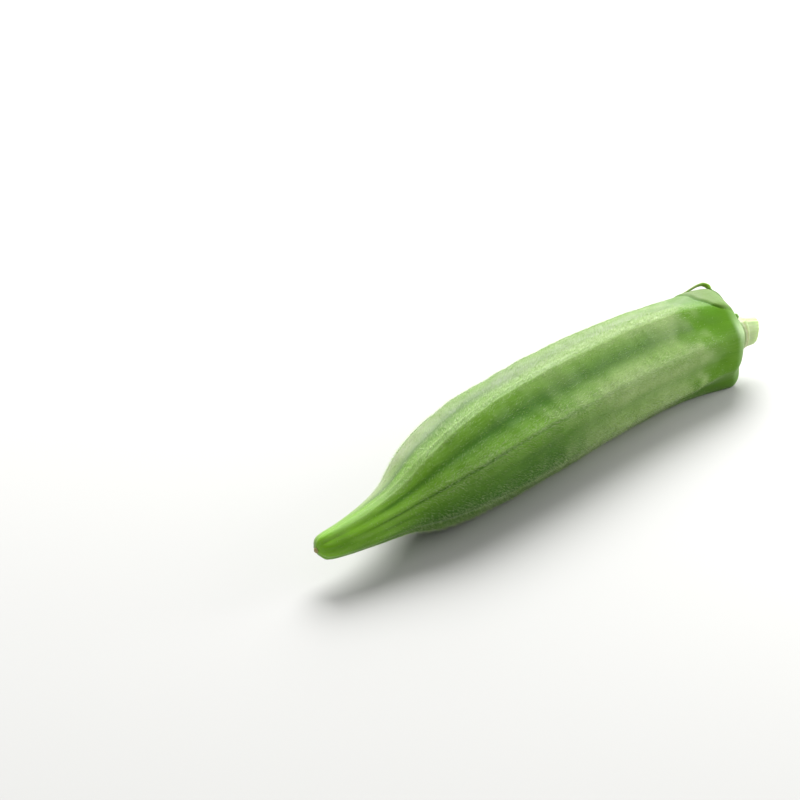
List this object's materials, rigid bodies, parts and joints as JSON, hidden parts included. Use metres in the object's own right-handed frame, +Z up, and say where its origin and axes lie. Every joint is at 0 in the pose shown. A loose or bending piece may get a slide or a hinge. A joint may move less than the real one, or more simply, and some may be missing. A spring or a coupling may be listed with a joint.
{
  "type": "okra pod",
  "caption": "Whole fresh okra pod lying on its ribs: bowed, ribbed green fruit with a narrow beak, a cut pale stalk stub and a curled bracteole.",
  "frame": {"origin": "under the middle of the object's box, on the surface it lies on", "axes": "+X along the pod from the beak to the stalk, +Y towards the side it bows to, +Z up"},
  "size_m": [0.123, 0.022, 0.0205],
  "materials": {
    "okra_skin": "fresh green okra skin, finely downy, soft satin sheen, paler on the ribs",
    "stalk_flesh": "pale green, smooth, matt at the cut",
    "bracteole_leaf": "thin bright green leaf strip, satin"
  },
  "bodies": {
    "root": {"pod": "okra_skin", "stalk_stub": "stalk_flesh", "bracteole": "bracteole_leaf"}
  },
  "joints": []
}
